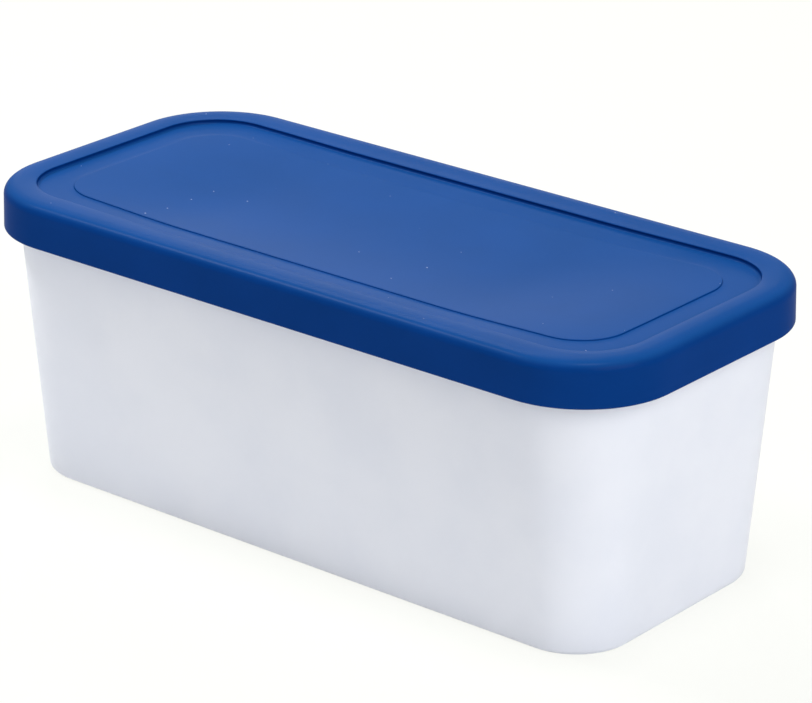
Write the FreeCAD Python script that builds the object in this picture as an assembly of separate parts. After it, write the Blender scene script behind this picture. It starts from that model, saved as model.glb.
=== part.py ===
import FreeCAD, Part
import math
import os

# Ice cream storage box: a deep, slim tub with tapering walls, shut by a soft lid.
# Millimetres. The origin is at the middle of the footprint, on the surface the box
# stands on. +X runs along the box, +Y across it and +Z up.
# The box is shut, so the tub is modelled full up to the lid.

# The box over all, measured at the lid
box_length = 240.0
box_width = 111.4
box_height = 92.2
lid_corner = 30.0  # corner radius of the skirt's lower edge, seen from above

# Lid: skirt, rim, sunk panel and the raised pad on the panel
lid_height = 13.4  # lower edge of the skirt to the top of the rim
skirt_wall = 2.0
skirt_draft = 0.3  # how far the skirt leans in over its height
skirt_lip_round = 0.5
rim_thickness = 2.0
rim_edge_round = 3.1
rim_end_width = 9.6  # skirt's lower edge to the sunk panel, at the ends
rim_side_width = 11.0  # the same, along the long sides
recess_corner = 19.5
recess_depth = 3.0
recess_draft = 0.15
recess_top_round = 1.0
recess_floor_round = 1.2
panel_thickness = 2.0
pad_margin = 9.3  # wall of the recess to the edge of the pad
pad_corner = 14.5
pad_rise = 0.4
pad_edge_round = 0.25
plug_round = 0.8  # lower edge of the plug that drops into the tub's mouth

# Snap bead inside the skirt, which grips under the tub's rim
bead_height = 3.0
bead_reach = 1.0
bead_crest = 0.5  # height of the steep face above the bead's crest

# Tub
skirt_overhang = 5.0  # skirt's lower edge to the tub's wall at the same level
wall_taper = 6.6  # how much further in the wall stands at the base, on each side
tub_wall = 2.2
rim_roll_height = 3.2
rim_roll_top_round = 1.3
rim_roll_low_round = 0.8
mouth_round = 0.6
base_round = 1.85
foot_width = 6.0
foot_depth = 1.5
foot_round = 0.7

# Running fit between the lid and the tub
fit_gap = 0.3

# Levels that follow from the sizes above
skirt_level = box_height - lid_height
seat_level = box_height - rim_thickness
floor_level = box_height - recess_depth
panel_level = floor_level - panel_thickness
roll_level = seat_level - rim_roll_height

smallest_corner = 0.5
overshoot = 1.0  # how far a cutting solid stands out past the face it cuts


def inset(plan, along, across=None):
    """A plan drawn in on every side; a plan is (length, width, corner radius)."""
    across = along if across is None else across
    length, width, corner = plan
    corner = max(corner - (along + across) / 2, smallest_corner)
    return (length - 2 * along, width - 2 * across, corner)


def outline(plan, level):
    """Closed rounded rectangle about the Z axis."""
    length, width, corner = plan
    sides = ((1, 1), (-1, 1), (-1, -1), (1, -1))
    arcs = []
    for quarter, (along, across) in enumerate(sides):
        centre = FreeCAD.Vector(along * (length / 2 - corner), across * (width / 2 - corner), level)
        points = []
        for part in (0.0, 0.5, 1.0):
            angle = math.radians(90 * (quarter + part))
            points.append(centre + FreeCAD.Vector(math.cos(angle), math.sin(angle), 0) * corner)
        arcs.append(points)
    edges = []
    for points, following in zip(arcs, arcs[1:] + arcs[:1]):
        edges.append(Part.Arc(*points).toShape())
        edges.append(Part.LineSegment(points[-1], following[0]).toShape())
    return Part.Wire(edges)


def block(sections):
    """Solid through a stack of outlines, each given as (plan, level)."""
    return Part.makeLoft([outline(plan, level) for plan, level in sections], True, True)


def loop_at(shape, level, within=None):
    """The level edges of a shape at one height, all of them or those inside a plan."""
    near = 0.01
    found = []
    for edge in shape.Edges:
        box = edge.BoundBox
        if abs(box.ZMin - level) > near or abs(box.ZMax - level) > near:
            continue
        if within and max(abs(box.XMin), abs(box.XMax)) > within[0] / 2 + near:
            continue
        if within and max(abs(box.YMin), abs(box.YMax)) > within[1] / 2 + near:
            continue
        found.append(edge)
    return found


def rounded(shape, radius, level, within=None):
    """Fillet the loop of edges at one height."""
    return shape.makeFillet(radius, loop_at(shape, level, within))


# Plans shared by the lid and the tub

lid_plan = (box_length, box_width, lid_corner)


def skirt_plan(level):
    """Outside of the skirt, which leans in a little towards the top."""
    lean = skirt_draft * (level - skirt_level) / lid_height
    return inset(lid_plan, lean)


def channel_plan(level):
    """Inside of the skirt."""
    return inset(skirt_plan(level), skirt_wall)


def wall_plan(level):
    """Outside of the tub's wall, which widens steadily from the base to the rim."""
    return inset(lid_plan, skirt_overhang + wall_taper * (1 - level / skirt_level))


mouth_plan = inset(wall_plan(seat_level), tub_wall)
plug_plan = inset(mouth_plan, fit_gap)
rim_plan = inset(lid_plan, rim_end_width, rim_side_width)
recess_plan = (rim_plan[0], rim_plan[1], recess_corner)


# Lid

def lid_cap():
    """Skirt and rim as one full block with its upper edge rounded."""
    cap = block([(skirt_plan(skirt_level), skirt_level), (skirt_plan(box_height), box_height)])
    cap = rounded(cap, rim_edge_round, box_height)
    return rounded(cap, skirt_lip_round, skirt_level)


def lid_channel():
    """The space under the lid, up to the face that rests on the tub's rim."""
    below = skirt_level - overshoot
    channel = block([(channel_plan(below), below), (channel_plan(seat_level), seat_level)])
    return rounded(channel, rim_edge_round - rim_thickness, seat_level)


def lid_plug():
    """The sunk panel's underside, which drops into the tub's mouth."""
    plug = block([(plug_plan, panel_level), (plug_plan, seat_level + rim_thickness / 2)])
    return rounded(plug, plug_round, panel_level)


def lid_recess():
    """What is taken out of the top to sink the panel below the rim."""
    above = box_height + overshoot
    widening = recess_draft * overshoot / recess_depth
    floor_plan = inset(recess_plan, recess_draft)
    recess = block([(floor_plan, floor_level), (inset(recess_plan, -widening), above)])
    return rounded(recess, recess_floor_round, floor_level)


def lid_pad():
    """The faintly raised field in the middle of the panel."""
    length, width, _ = inset(recess_plan, pad_margin)
    plan = (length, width, pad_corner)
    top = floor_level + pad_rise
    pad = block([(plan, floor_level - panel_thickness / 2), (plan, top)])
    return rounded(pad, pad_edge_round, top)


def snap_bead():
    """A rib round the inside of the skirt: an easy slope below, a steep face above."""
    top = roll_level - fit_gap
    crest = top - bead_crest
    low = top - bead_height
    root = inset(channel_plan(low), -skirt_wall / 2)
    band = block([(root, low), (root, top)])
    lower = block([(channel_plan(low), low), (inset(channel_plan(crest), bead_reach), crest)])
    upper = block([(inset(channel_plan(crest), bead_reach), crest), (channel_plan(top), top)])
    return band.cut(lower).cut(upper)


def lid():
    shell = lid_cap().cut(lid_channel())
    shell = shell.fuse(lid_plug())
    shell = shell.fuse(snap_bead())
    shell = shell.cut(lid_recess())
    shell = rounded(shell.removeSplitter(), recess_top_round, box_height, inset(recess_plan, -recess_draft))
    return shell.fuse(lid_pad()).removeSplitter()


# Tub

def tub_body():
    """The tapering wall and what it holds, up to the middle of the rolled rim."""
    top = roll_level + rim_roll_height / 2
    body = block([(wall_plan(0), 0), (wall_plan(top), top)])
    return rounded(body, base_round, 0)


def rim_roll():
    """The rolled rim that stands out from the wall, hidden inside the skirt."""
    low_plan = inset(channel_plan(roll_level), fit_gap)
    top_plan = inset(channel_plan(seat_level), fit_gap)
    roll = block([(low_plan, roll_level), (top_plan, seat_level)])
    roll = rounded(roll, rim_roll_top_round, seat_level)
    return rounded(roll, rim_roll_low_round, roll_level)


def mouth():
    """The opening that the lid's plug fills."""
    return block([(mouth_plan, panel_level), (mouth_plan, seat_level + overshoot)])


def foot_recess():
    """The shallow hollow under the base, which leaves a foot all round."""
    plan = inset(wall_plan(0), foot_width)
    hollow = block([(plan, -overshoot), (plan, foot_depth)])
    return rounded(hollow, foot_round, foot_depth)


def tub():
    body = tub_body().fuse(rim_roll()).cut(mouth())
    body = rounded(body.removeSplitter(), mouth_round, seat_level, mouth_plan)
    return body.cut(foot_recess()).removeSplitter()


def write(name, shape):
    solids = shape.Solids
    if len(solids) != 1 or not shape.isValid():
        raise ValueError(f"{name} is not one sound solid")
    solids[0].exportStep(os.path.join("parts", f"{name}.step"))


os.makedirs("parts", exist_ok=True)
write("tub", tub())
write("lid", lid())
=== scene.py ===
import bpy
import math
from mathutils import Matrix, Vector


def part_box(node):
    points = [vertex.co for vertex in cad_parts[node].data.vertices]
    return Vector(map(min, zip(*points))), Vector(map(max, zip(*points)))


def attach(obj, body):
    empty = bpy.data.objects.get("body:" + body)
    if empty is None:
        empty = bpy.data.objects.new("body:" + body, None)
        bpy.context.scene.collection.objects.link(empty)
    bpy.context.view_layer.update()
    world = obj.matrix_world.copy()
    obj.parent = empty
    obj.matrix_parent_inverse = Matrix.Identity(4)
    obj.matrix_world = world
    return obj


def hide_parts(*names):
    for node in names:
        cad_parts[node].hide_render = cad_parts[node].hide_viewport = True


# Ice cream storage box, shut: a deep milky tub and its soft blue lid.
# Sizes are in millimetres, and the meshes are made in metres.
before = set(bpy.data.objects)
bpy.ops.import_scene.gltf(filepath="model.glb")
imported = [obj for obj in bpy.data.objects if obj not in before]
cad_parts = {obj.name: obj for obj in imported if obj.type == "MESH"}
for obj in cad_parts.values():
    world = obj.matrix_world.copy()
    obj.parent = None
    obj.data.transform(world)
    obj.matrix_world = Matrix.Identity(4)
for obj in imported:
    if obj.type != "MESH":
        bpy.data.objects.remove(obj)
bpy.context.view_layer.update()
mm = 0.001

lidLow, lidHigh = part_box("lid")
boxTop = lidHigh.z / mm
lidFoot = lidLow.z / mm
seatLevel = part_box("tub")[1].z / mm  # top of the tub's rolled rim, where the lid rests
# a plan is the half length, half width and corner radius of a rounded rectangle
sharpestCorner = 0.3  # least radius of a plan's corners
ringSteps = dict(corner=28, side=44, end=12)  # points on each corner, long side and short side


def smoothStep(low, high, value):
    share = min(max((value - low) / (high - low), 0), 1)
    return share * share * (3 - 2 * share)


def inset(plan, along, across=None):
    # a plan drawn in on every side
    across = along if across is None else across
    return (plan[0] - along, plan[1] - across, max(plan[2] - (along + across) / 2, sharpestCorner))


def between(planA, planB, share):
    return tuple(a + (b - a) * share for a, b in zip(planA, planB))


def arc(centreInset, centreHeight, radius, start, end, steps):
    # (inset, height) pairs round an arc of a section; 0 degrees points outwards and 90 points up
    points = []
    for i in range(steps + 1):
        angle = math.radians(start + (end - start) * i / steps)
        points.append((centreInset - radius * math.cos(angle), centreHeight + radius * math.sin(angle)))
    return points


def ringPoints(plan, height):
    # a rounded rectangle with the same number of points on every ring, so that rings join into quads
    halfLength, halfWidth, corner = plan
    points = []
    for quarter, (sx, sy) in enumerate(((1, 1), (-1, 1), (-1, -1), (1, -1))):
        centre = Vector((sx * (halfLength - corner), sy * (halfWidth - corner), height))
        for i in range(ringSteps["corner"]):
            angle = math.radians(90) * (quarter + i / ringSteps["corner"])
            points.append(centre + corner * Vector((math.cos(angle), math.sin(angle), 0)))
        angle = math.radians(90) * (quarter + 1)
        start = centre + corner * Vector((math.cos(angle), math.sin(angle), 0))
        alongBox = quarter % 2 == 0
        run = 2 * (halfLength - corner if alongBox else halfWidth - corner)
        way = Vector((-sx, 0, 0)) if alongBox else Vector((0, -sy, 0))
        count = ringSteps["side"] if alongBox else ringSteps["end"]
        for i in range(count):
            points.append(start + way * run * i / count)
    return points


def closingFaces(first, upward):
    # closes a ring with strips that run straight across the box
    half = 2 * ringSteps["corner"] + ringSteps["side"]
    end = ringSteps["end"]
    total = 2 * (half + end)
    faces = []
    for i in range(half):
        face = [i, i + 1, total - end - i - 1, (total - end - i) % total]
        if i == 0:
            face += list(range(total - end + 1, total))
        if i == half - 1:
            face = [i] + list(range(half, half + end + 1)) + [half + end + 1]
        face = [first + index for index in face]
        faces.append(face if upward else face[::-1])
    return faces


def skin(name, rings):
    # rings run from the middle of the underside, up the outside, to the middle of the top
    points = []
    for plan, height, sag in rings:
        for point in ringPoints(plan, height):
            point.z -= sagDepth(point, sag)
            points.append(point * mm)
    count = len(points) // len(rings)
    faces = closingFaces(0, False)
    for ring in range(len(rings) - 1):
        for i in range(count):
            j = (i + 1) % count
            low = ring * count
            faces.append((low + i, low + j, low + count + j, low + count + i))
    faces += closingFaces((len(rings) - 1) * count, True)
    mesh = bpy.data.meshes.new(name)
    mesh.from_pydata(points, [], faces)
    mesh.validate()
    mesh.shade_smooth()
    made = bpy.data.objects.new(name, mesh)
    bpy.context.scene.collection.objects.link(made)
    return made


def sagDepth(point, share):
    # up to 1, the share of the rim's sag halfway along; above 1, the panel's dish as well
    s = lidSizes
    depth = min(share, 1) * s["sag"] * (1 - smoothStep(s["sagFlat"], s["sagEnd"], abs(point.x)))
    if share > 1:
        across = 1 - (point.y / recessPlan()[1]) ** 2
        along = 1 - smoothStep(s["dishFlat"], s["dishEnd"], abs(point.x))
        depth += (share - 1) * s["dish"] * max(across, 0) * along
    return depth


class Wire:
    # one output of a node; arithmetic on it adds Math nodes
    def __init__(self, graph, socket):
        self.graph = graph
        self.socket = socket

    def __add__(self, other):
        return self.graph.maths("ADD", self, other)

    def __radd__(self, other):
        return self.graph.maths("ADD", other, self)

    def __sub__(self, other):
        return self.graph.maths("SUBTRACT", self, other)

    def __mul__(self, other):
        return self.graph.maths("MULTIPLY", self, other)


class Graph:
    # the nodes of one material, or of the world
    def __init__(self, tree):
        self.tree = tree
        tree.nodes.clear()

    def add(self, kind, settings=None, sockets=None, out=0):
        node = self.tree.nodes.new("ShaderNode" + kind)
        for key, value in (settings or {}).items():
            setattr(node, key, value)
        for key, value in (sockets or {}).items():
            if isinstance(value, Wire):
                self.tree.links.new(value.socket, node.inputs[key])
            else:
                node.inputs[key].default_value = value
        return Wire(self, node.outputs[out]) if node.outputs else node

    def maths(self, operation, *values):
        return self.add("Math", {"operation": operation}, dict(enumerate(values)))

    def clamped(self, value, low, high):
        # 0 up to low and 1 from high, with a soft step between
        sockets = {"Value": value, "From Min": low, "From Max": high}
        return self.add("MapRange", {"interpolation_type": "SMOOTHSTEP"}, sockets)

    def blend(self, share, colourA, colourB):
        # a Mix node's colours are its sockets 6 and 7, and its mixed colour is output 2
        sockets = {0: share, 6: colourA, 7: colourB}
        for key in (6, 7):
            if isinstance(sockets[key], tuple):
                sockets[key] = (*sockets[key], 1)
        return self.add("Mix", {"data_type": "RGBA"}, sockets, out=2)

    def noise(self, place, size, detail, roughness=0.5):
        # size is that of one blotch, in millimetres
        sockets = {"Vector": place, "Scale": 1 / (size * mm), "Detail": detail, "Roughness": roughness}
        return self.add("TexNoise", None, sockets)

    def bump(self, values, height):
        depth = values["bumpDepth"] * mm
        sockets = {"Strength": values["bumpStrength"], "Distance": depth, "Height": height}
        return self.add("Bump", None, sockets)

    def finish(self, sockets):
        surface = self.add("BsdfPrincipled", None, sockets)
        self.add("OutputMaterial", None, {"Surface": surface})


def newMaterial(name):
    made = bpy.data.materials.new(name)
    made.use_nodes = True
    return made, Graph(made.node_tree)


print("camera")
# angles in degrees, distance in metres, lens, sensor and aim in millimetres
shot = dict(
    azimuth=39.595,
    elevation=21.955,
    roll=0.2305,
    distance=1.1309,
    lens=169.752,
    sensor=36,
    farthest=50,  # metres
    aim=(3.244, 4.638, 51.737),
)


def makeCamera():
    azimuth = math.radians(shot["azimuth"])
    elevation = math.radians(shot["elevation"])
    roll = math.radians(shot["roll"])
    level = Vector((math.sin(azimuth), -math.cos(azimuth), 0)) * math.cos(elevation)
    back = level + Vector((0, 0, math.sin(elevation)))
    right = Vector((math.cos(azimuth), math.sin(azimuth), 0))
    up = back.cross(right)
    turnedRight = right * math.cos(roll) + up * math.sin(roll)
    turnedUp = up * math.cos(roll) - right * math.sin(roll)
    data = bpy.data.cameras.new("camera")
    data.lens = shot["lens"]
    data.sensor_width = shot["sensor"]
    data.clip_end = shot["farthest"]
    camera = bpy.data.objects.new("camera", data)
    turn = Matrix((turnedRight, turnedUp, back)).transposed().to_4x4()
    place = Vector(shot["aim"]) * mm + back * shot["distance"]
    camera.matrix_world = Matrix.Translation(place) @ turn
    bpy.context.scene.collection.objects.link(camera)
    bpy.context.scene.camera = camera


makeCamera()

print("lid")
lidSizes = dict(
    skirtCorner=30,
    skirtWall=2.0,
    skirtLean=0.3,  # how much farther in the skirt would be at the lid's top
    lipRound=0.5,
    lipInnerRound=0.4,
    lipHeight=2.0,
    shoulderRound=3.0,  # from the skirt up to the crown of the rim
    crownRound=11.0,
    crownTurn=14,  # degrees left for the crown
    crownDrop=0.35,  # peak of the rim to its inner edge
    crownPower=2.6,  # how late that drop comes
    rimEndWidth=9.6,
    rimSideWidth=11.0,
    recessCorner=19.5,
    recessDepth=1.87,  # at the foot of the wall; the panel hangs lower in the middle
    recessUndercut=20,  # degrees that the recess wall leans past upright
    recessTopRound=0.35,
    recessFloorRound=0.8,
    padMargin=9.3,
    padCorner=14.5,
    padSurround=1.0,  # least room between the floor's rings and the pad
    padRise=0.4,
    padFootRound=0.15,
    padEdgeRound=0.25,
    panelRings=(20, 2),  # insets of the rings under the panel
    plugRound=0.8,
    channelRound=1.1,
    beadTop=86.7,
    beadCrest=86.2,
    beadLow=83.7,
    beadReach=1.0,
    sag=0.45,
    sagFlat=45,  # the rim's sag is even as far as this from the middle, and gone at sagEnd
    sagEnd=92,
    dish=2.6,  # how much lower the panel hangs in the middle than at the wall
    dishFlat=50,
    dishEnd=112,
    panelLevel=87.2,  # underside of the panel
    skirtShares=(0.08, 0.3, 0.6, 0.9, 0.98),  # rings up the skirt
    floorShares=(0.15, 0.5, 0.85),  # rings from the recess wall to the pad
    padShares=(0.03, 0.09, 0.18, 0.3, 0.42, 0.54, 0.66, 0.78, 0.9, 1),  # rings to the middle of the pad
    padMiddle=0.5,  # half width of the last of them
    hiddenSteps=5,  # steps round each arc of the underside
    lipSteps=6,  # and round each curve that can be seen
    shoulderSteps=18,
    crownSteps=8,
    crownInsideSteps=12,
    crestSteps=14,
    wallFootSteps=12,
    padFootSteps=4,
    padEdgeSteps=6,
)
outerPlan = (lidHigh.x / mm, lidHigh.y / mm, lidSizes["skirtCorner"])  # the foot of the skirt
fitGap = 0.3  # between the lid and the tub, at their sides


def skirtInset(height):
    # how far the leaning skirt lies inside its foot at a level
    return lidSizes["skirtLean"] * (height - lidFoot) / (boxTop - lidFoot)


def recessPlan():
    # the sunk panel's outline, at the inner edge of the rim
    edge = inset(outerPlan, lidSizes["rimEndWidth"], lidSizes["rimSideWidth"])
    return (*edge[:2], lidSizes["recessCorner"])


def undersideRings():
    # the plug in the tub's mouth, the face on the tub's rim, and the inside of the skirt with its bead
    s = lidSizes
    panelLevel = s["panelLevel"]
    plugPlan = inset(mouthPlan(), fitGap)
    rings = [(inset(plugPlan, along), panelLevel, 0) for along in s["panelRings"]]
    plug = s["plugRound"]
    for along, height in arc(plug, panelLevel + plug, plug, -90, 0, s["hiddenSteps"]):
        rings.append((inset(plugPlan, along), height, 0))
    rings.append((plugPlan, seatLevel, 0))
    bend = s["channelRound"]
    channel = skirtInset(seatLevel) + s["skirtWall"]
    section = arc(channel + bend, seatLevel - bend, bend, 90, 0, s["hiddenSteps"])
    for height, reach in ((s["beadTop"], 0), (s["beadCrest"], s["beadReach"]), (s["beadLow"], 0)):
        section.append((skirtInset(height) + s["skirtWall"] + reach, height))
    inner = s["lipInnerRound"]
    lipTop = lidFoot + s["lipHeight"]
    section.append((skirtInset(lipTop) + s["skirtWall"], lipTop))
    section += arc(s["skirtWall"] - inner, lidFoot + inner, inner, 180, 270, s["hiddenSteps"])
    for along, height in section:
        rings.append((inset(outerPlan, along), height, 0))
    return rings


def skirtRings():
    # up the outside of the lid, from its lip to the crown of the rim
    s = lidSizes
    lip = s["lipRound"]
    section = arc(lip, lidFoot + lip, lip, 270, 360, s["lipSteps"])
    turn = 90 - s["crownTurn"]
    upright = math.sin(math.radians(turn))
    shoulder, crown = s["shoulderRound"], s["crownRound"]
    shoulderFoot = boxTop - (shoulder * upright + crown * (1 - upright))
    for share in s["skirtShares"]:
        height = lidFoot + lip + (shoulderFoot - lidFoot - lip) * share
        section.append((skirtInset(height), height))
    face = skirtInset(shoulderFoot)
    section += arc(face + shoulder, shoulderFoot, shoulder, 0, turn, s["shoulderSteps"])
    along = section[-1][0] + crown * math.cos(math.radians(turn))
    section += arc(along, boxTop - crown, crown, turn, 90, s["crownSteps"])[1:]
    return [(inset(outerPlan, along), height, sagShare(along)) for along, height in section]


def sagShare(along):
    # none at the skirt and all of it at the inner edge of the rim, growing as a square
    return min(max(along, 0) / lidSizes["rimSideWidth"], 1) ** 2


def recessRings(peak):
    # from the peak of the rim down its inner side, over the sunk panel and up on to the pad
    s = lidSizes
    peakPlan, peakSag = peak[0], peak[2]
    edge = recessPlan()
    drop = s["crownDrop"]
    power = s["crownPower"]
    topRound = s["recessTopRound"]
    slope = math.degrees(math.atan(power * drop / (peakPlan[0] - edge[0])))
    undercut = s["recessUndercut"]
    crestLevel = boxTop - drop - topRound
    crest = arc(-topRound, crestLevel, topRound, 90 + slope, 180 + undercut, s["crestSteps"])
    rings = []
    start = inset(edge, crest[0][0])
    for i in range(1, s["crownInsideSteps"]):
        share = i / s["crownInsideSteps"]
        sag = (math.sqrt(peakSag) * (1 - share) + share) ** 2
        rings.append((between(peakPlan, start, share), boxTop - drop * share ** power, sag))
    floorLevel = boxTop - s["recessDepth"]
    floorRound = s["recessFloorRound"]
    footCentre = crest[-1][0] + floorRound * math.cos(math.radians(undercut))
    wallFoot = arc(footCentre, floorLevel + floorRound, floorRound, undercut, -90, s["wallFootSteps"])
    rings += [(inset(edge, along), height, 1) for along, height in crest + wallFoot]
    padPlan = (*inset(edge, s["padMargin"])[:2], s["padCorner"])
    innerFloor = rings[-1][0]
    surround = inset(padPlan, -s["padSurround"])
    padTop = floorLevel + s["padRise"]
    foot, brow = s["padFootRound"], s["padEdgeRound"]
    padSection = arc(-foot, floorLevel + foot, foot, 270, 180, s["padFootSteps"])
    padSection += arc(brow, padTop - brow, brow, 0, 90, s["padEdgeSteps"])[1:]
    for share in s["floorShares"]:
        rings.append((between(innerFloor, surround, share), floorLevel, 2))
    rings += [(inset(padPlan, along), height, 2) for along, height in padSection]
    innermost = padPlan[1] - s["padMiddle"]
    rings += [(inset(padPlan, innermost * share), padTop, 2) for share in s["padShares"]]
    return rings


def makeLid():
    outside = skirtRings()
    return skin("lidShell", undersideRings() + outside + recessRings(outside[-1]))


blueSilicone = dict(
    deep=(0.0012, 0.036, 0.190),
    pale=(0.0017, 0.040, 0.212),
    paintedTopLightDeep=(0.0055, 0.060, 0.240),  # painted light: a paler blue where it faces up, standing in for the brighter light on the top
    paintedTopLightPale=(0.0065, 0.065, 0.262),
    paintedTopLightRange=(0.42, 0.92),  # upward part of the normal where the painted top light starts and is full
    roughness=0.34,
    specular=0.0026,
    coat=0.045,
    coatRoughness=0.28,
    blotch=28,  # blotches, grain and dust in millimetres
    blotchDetail=4,
    grain=0.9,
    grainDetail=3,
    grainRoughness=0.6,
    grainShare=0.2,  # in the tone, beside the blotches
    toneRange=(0.3, 0.7),
    roughBlotch=0.1,  # how much the blotches, the grain and the dust change the roughness
    roughGrain=0.08,
    roughDust=0.3,
    bumpStrength=0.35,
    bumpDepth=0.02,
    dust=(0.55, 0.62, 0.75),
    dustCell=11,  # one speck at most in each cell
    dustSize=0.25,  # largest radius of a speck
    dustLeast=0.3,  # smallest radius, as a share of the largest
    dustChance=0.2,  # share of the cells that have a speck
    dustFaint=0.25,  # cover of the smallest speck, and how much more the largest has
    dustSpread=0.5,
    dustRange=(0.8, 0.95),  # upward part of the normal where the dust starts and is full
)


def makeBlueSilicone():
    v = blueSilicone
    made, g = newMaterial("blueSilicone")
    place = g.add("TexCoord", out="Object")
    blotches = g.noise(place, v["blotch"], v["blotchDetail"])
    grain = g.noise(place, v["grain"], v["grainDetail"], v["grainRoughness"])
    mixed = blotches * (1 - v["grainShare"]) + grain * v["grainShare"]
    tone = g.clamped(mixed, *v["toneRange"])
    facing = g.add("SeparateXYZ", None, {"Vector": g.add("NewGeometry", out="Normal")}, out="Z")
    # painted light: upward faces get a paler blue that stands in for the brighter light on the lid's
    # top
    paintedTopLight = g.blend(tone, v["paintedTopLightDeep"], v["paintedTopLightPale"])
    plain = g.blend(tone, v["deep"], v["pale"])
    colour = g.blend(g.clamped(facing, *v["paintedTopLightRange"]), plain, paintedTopLight)
    # sparse dust, only where the lid faces up
    cellSettings = {"voronoi_dimensions": "2D"}
    cellSockets = {"Vector": place, "Scale": 1 / (v["dustCell"] * mm)}
    distance = g.add("TexVoronoi", cellSettings, cellSockets, out="Distance")
    cellColour = g.add("TexVoronoi", cellSettings, cellSockets, out="Color")
    chance = g.add("SeparateColor", None, {"Color": cellColour}, out="Red")
    bulk = g.add("SeparateColor", None, {"Color": cellColour}, out="Green")
    radius = (bulk * (1 - v["dustLeast"]) + v["dustLeast"]) * (v["dustSize"] / v["dustCell"])
    near = g.maths("LESS_THAN", distance, radius)
    kept = g.maths("LESS_THAN", chance, v["dustChance"])
    dust = near * kept * g.clamped(facing, *v["dustRange"])
    cover = dust * (v["dustFaint"] + bulk * v["dustSpread"])
    uneven = (blotches - 0.5) * v["roughBlotch"] + (grain - 0.5) * v["roughGrain"]
    g.finish({
        "Base Color": g.blend(cover, colour, v["dust"]),
        "Roughness": v["roughness"] + uneven + dust * v["roughDust"],
        "Specular IOR Level": v["specular"],
        "Coat Weight": v["coat"],
        "Coat Roughness": v["coatRoughness"],
        "Normal": g.bump(v, grain),
    })
    return made


print("tub")
tubSizes = dict(
    overhang=5.0,  # from the lid's skirt in to the wall, at the lid's foot
    taper=6.6,  # how much farther in the wall is at its own foot
    wall=2.2,
    rollHeight=3.2,
    rollTopRound=1.3,
    rollLowRound=0.8,
    mouthRound=0.6,
    baseRound=1.85,
    footWidth=6.0,
    footDepth=1.5,
    footRound=0.7,
    footEdgeRound=0.35,
    hollowRings=(12, 2),  # insets of the rings under the base, from the foot's inner face
    wallLevels=(2.4, 5, 12, 22, 32, 42, 52, 62, 70, 76, 80, 84),  # rings up the wall
    rollSeam=0.3,  # from the last ring of the wall to the rolled rim
    mouthRings=(0, 6),  # insets of the rings on what the tub holds
    hiddenSteps=5,  # steps round each arc under the base and under the roll
    baseSteps=14,
    rollTopSteps=6,
    mouthSteps=4,
)


def wallInset(height):
    return tubSizes["overhang"] + tubSizes["taper"] * (1 - height / lidFoot)


def mouthPlan():
    # the tub's opening at the level of its rim
    return inset(outerPlan, wallInset(seatLevel) + tubSizes["wall"])


def makeTub():
    # from under the base up the wall, round the rolled rim and over what the tub holds
    s = tubSizes
    hollow = wallInset(0) + s["footWidth"]
    section = [(hollow + along, s["footDepth"]) for along in s["hollowRings"]]
    bend, edge = s["footRound"], s["footEdgeRound"]
    section += arc(hollow + bend, s["footDepth"] - bend, bend, 90, 0, s["hiddenSteps"])
    section += arc(hollow - edge, edge, edge, 180, 270, s["hiddenSteps"])
    lean = math.degrees(math.atan(s["taper"] / lidFoot))
    base = s["baseRound"]
    centre = wallInset(base) + base / math.cos(math.radians(lean))
    section += arc(centre, base, base, 270, 360 - lean, s["baseSteps"])
    rollLevel = seatLevel - s["rollHeight"]
    for height in (*s["wallLevels"], rollLevel - s["rollSeam"], rollLevel):
        section.append((wallInset(height), height))
    rollFace = skirtInset(seatLevel) + lidSizes["skirtWall"] + fitGap
    low = s["rollLowRound"]
    top = s["rollTopRound"]
    section += arc(rollFace + low, rollLevel + low, low, 270, 360, s["hiddenSteps"])
    section += arc(rollFace + top, seatLevel - top, top, 0, 90, s["rollTopSteps"])
    rings = [(inset(outerPlan, along), height, 0) for along, height in section]
    mouth = s["mouthRound"]
    inside = arc(-mouth, seatLevel - mouth, mouth, 90, 180, s["mouthSteps"])
    inside += [(along, lidSizes["panelLevel"]) for along in s["mouthRings"]]
    rings += [(inset(mouthPlan(), along), height, 0) for along, height in inside]
    return skin("tubShell", rings)


milkyPlastic = dict(
    deep=(0.80, 0.83, 0.915),
    pale=(0.84, 0.865, 0.94),
    roughness=0.4,
    specular=0.35,
    blotch=30,  # blotches and grain in millimetres
    blotchDetail=4,
    grain=0.8,
    grainDetail=2,
    toneRange=(0.3, 0.7),
    roughBlotch=0.12,
    roughGrain=0.06,
    bumpStrength=0.25,
    bumpDepth=0.02,
)


def makeMilkyPlastic():
    v = milkyPlastic
    made, g = newMaterial("milkyPlastic")
    place = g.add("TexCoord", out="Object")
    blotches = g.noise(place, v["blotch"], v["blotchDetail"])
    grain = g.noise(place, v["grain"], v["grainDetail"])
    uneven = (blotches - 0.5) * v["roughBlotch"] + (grain - 0.5) * v["roughGrain"]
    g.finish({
        "Base Color": g.blend(g.clamped(blotches, *v["toneRange"]), v["deep"], v["pale"]),
        "Roughness": v["roughness"] + uneven,
        "Specular IOR Level": v["specular"],
        "Normal": g.bump(v, grain),
    })
    return made


def placePiece(piece, node, material):
    # each piece stands in for the node of the same name, on the only body
    piece.data.materials.append(material)
    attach(piece, "root")
    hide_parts(node)


placePiece(makeTub(), "tub", makeMilkyPlastic())
placePiece(makeLid(), "lid", makeBlueSilicone())

print("studio")
studio = dict(
    backdrop=(0.99, 1, 0.96),
    floor=(0.93, 0.93, 0.92),
    floorWhitening=0.85,  # how much of the floor, where it is seen, is plain white
    floorSize=6,  # half its width, in metres
    fill=0.18,  # soft light from all round
)
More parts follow.
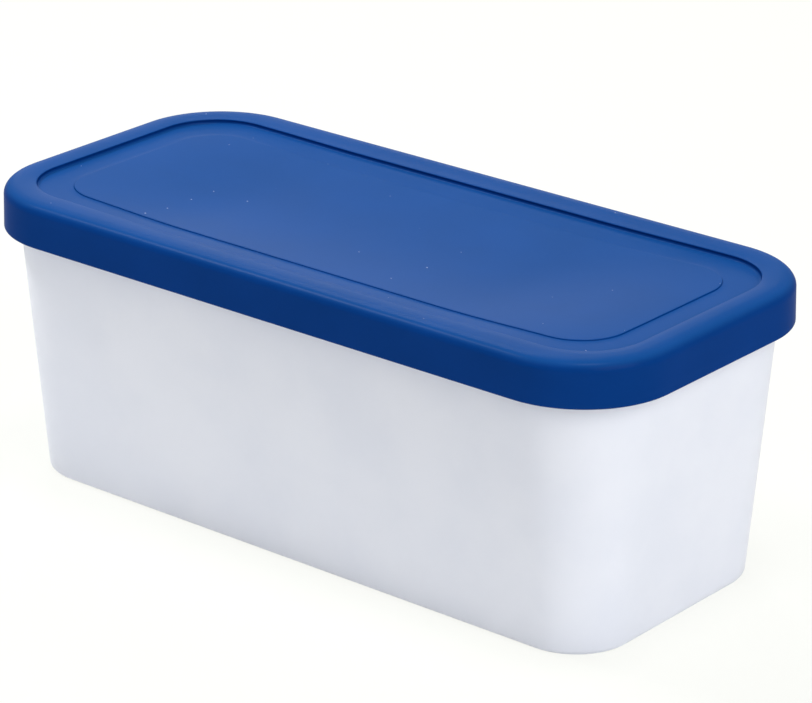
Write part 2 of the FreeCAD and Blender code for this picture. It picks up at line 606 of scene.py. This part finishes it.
# place and aim in metres from the origin, size in metres, power in watts
lamps = dict(
    nearBack=dict(place=(-0.40, 0.45, 0.56), size=(0.25, 0.25), power=0.8),
    glintBack=dict(place=(-1.12, 0.95, 1.2), size=(0.4, 0.4), power=2.5),
    backLow=dict(place=(-1.0, 1.15, 0.40), size=(0.8, 0.3), power=2.4),
    overhead=dict(place=(0.25, 0.0, 1.75), size=(0.35, 0.35), power=9.6),
    leftFront=dict(place=(-0.56, -0.16, 0.80), size=(0.2, 0.2), power=4.2),
    rightFill=dict(place=(1.5, -0.3, 1.1), size=(1.2, 1.2), power=17.5),
    frontFill=dict(place=(-0.3, -1.4, 1.3), size=(1.2, 0.8), power=2.9),
)
lampAim = Vector((0, 0, 0.05))


def seenDirectly(g):
    # 1 for rays from the camera and for those in reflections and through glass
    seen = g.add("LightPath", out="Is Camera Ray")
    for other in ("Is Glossy Ray", "Is Transmission Ray"):
        seen = g.maths("MAXIMUM", seen, g.add("LightPath", out=other))
    return seen


def makeFloor():
    made, g = newMaterial("floorPaper")
    paper = g.add("BsdfDiffuse", None, {"Color": (*studio["floor"], 1)})
    glow = g.add("Emission", None, {"Color": (*studio["backdrop"], 1), "Strength": 1.0})
    share = seenDirectly(g) * studio["floorWhitening"]
    surface = g.add("MixShader", None, {0: share, 1: paper, 2: glow})
    g.add("OutputMaterial", None, {"Surface": surface})
    half = studio["floorSize"]
    mesh = bpy.data.meshes.new("floor")
    corners = [(-half, -half, 0), (half, -half, 0), (half, half, 0), (-half, half, 0)]
    mesh.from_pydata(corners, [], [(0, 1, 2, 3)])
    mesh.materials.append(made)
    floor = bpy.data.objects.new("floor", mesh)
    bpy.context.scene.collection.objects.link(floor)


def makeWorld():
    world = bpy.data.worlds.new("studio")
    world.use_nodes = True
    g = Graph(world.node_tree)
    soft = g.add("Background", None, {"Color": (1, 1, 1, 1), "Strength": studio["fill"]})
    white = g.add("Background", None, {"Color": (*studio["backdrop"], 1), "Strength": 1.0})
    surface = g.add("MixShader", None, {0: seenDirectly(g), 1: soft, 2: white})
    g.add("OutputWorld", None, {"Surface": surface})
    bpy.context.scene.world = world


def makeLamp(name, place, size, power):
    data = bpy.data.lights.new(name, "AREA")
    data.shape = "RECTANGLE"
    data.size, data.size_y = size
    data.energy = power
    lamp = bpy.data.objects.new(name, data)
    lamp.location = place
    lamp.rotation_euler = (lampAim - Vector(place)).to_track_quat("-Z", "Y").to_euler()
    lamp.visible_camera = False
    bpy.context.scene.collection.objects.link(lamp)


makeFloor()
makeWorld()
for name, lamp in lamps.items():
    makeLamp(name, **lamp)

bpy.context.scene.view_settings.view_transform = "Standard"
